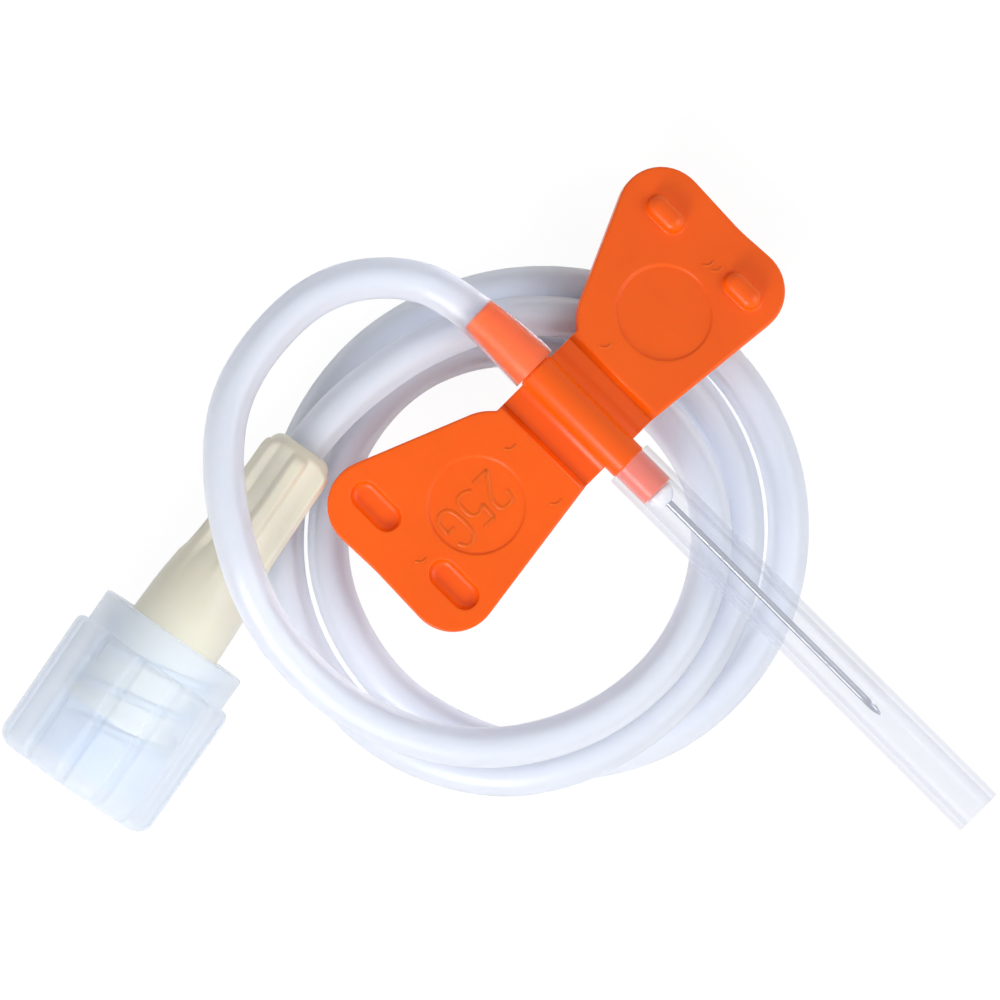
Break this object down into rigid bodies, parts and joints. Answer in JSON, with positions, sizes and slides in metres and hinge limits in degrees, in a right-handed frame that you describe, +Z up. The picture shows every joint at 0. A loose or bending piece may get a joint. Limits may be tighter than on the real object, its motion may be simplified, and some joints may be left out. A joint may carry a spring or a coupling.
{
  "type": "butterfly needle",
  "caption": "Winged infusion needle: a sheathed steel cannula between two folding wings, with coiled soft tubing that ends in a capped female luer connector.",
  "frame": {"origin": "on the needle's axis, where the steel cannula leaves its bead of adhesive", "axes": "+X along the needle towards its tip, +Y towards the wing with the pegs, +Z up from the table, away from the wings' undersides"},
  "size_m": [0.0562, 0.0582, 0.0123],
  "materials": {
    "orange_wing_plastic": "satin",
    "needle_steel": "polished",
    "adhesive": "gloss",
    "clear_sheath_plastic": "gloss",
    "soft_tube": "satin",
    "cream_connector_plastic": "satin",
    "frosted_cap_plastic": "satin"
  },
  "bodies": {
    "hub_with_line": {"hub": "orange_wing_plastic", "needle": "needle_steel", "needle_adhesive": "adhesive", "tubing": "soft_tube", "luer_connector": "cream_connector_plastic"},
    "left_wing": {"left_wing": "orange_wing_plastic"},
    "right_wing": {"right_wing": "orange_wing_plastic"},
    "sheath": {"needle_sheath": "clear_sheath_plastic"},
    "cap": {"luer_cap": "frosted_cap_plastic"}
  },
  "joints": [
    {"name": "left_wing_fold", "type": "hinge", "parent": "hub_with_line", "child": "left_wing", "pos_m": [-0.00845, -0.00216, -0.0008], "axis": [-1, 0, 0], "range_deg": [0, 91]},
    {"name": "right_wing_fold", "type": "hinge", "parent": "hub_with_line", "child": "right_wing", "pos_m": [-0.00845, 0.00216, -0.0008], "axis": [1, 0, 0], "range_deg": [0, 107]},
    {"name": "sheath_slide", "type": "slide", "parent": "hub_with_line", "child": "sheath", "axis": [1, 0, 0], "range_m": [0, 0.026]},
    {"name": "cap_slide", "type": "slide", "parent": "hub_with_line", "child": "cap", "axis": [0.1762, -0.9843, 0], "range_m": [0, 0.01]}
  ]
}
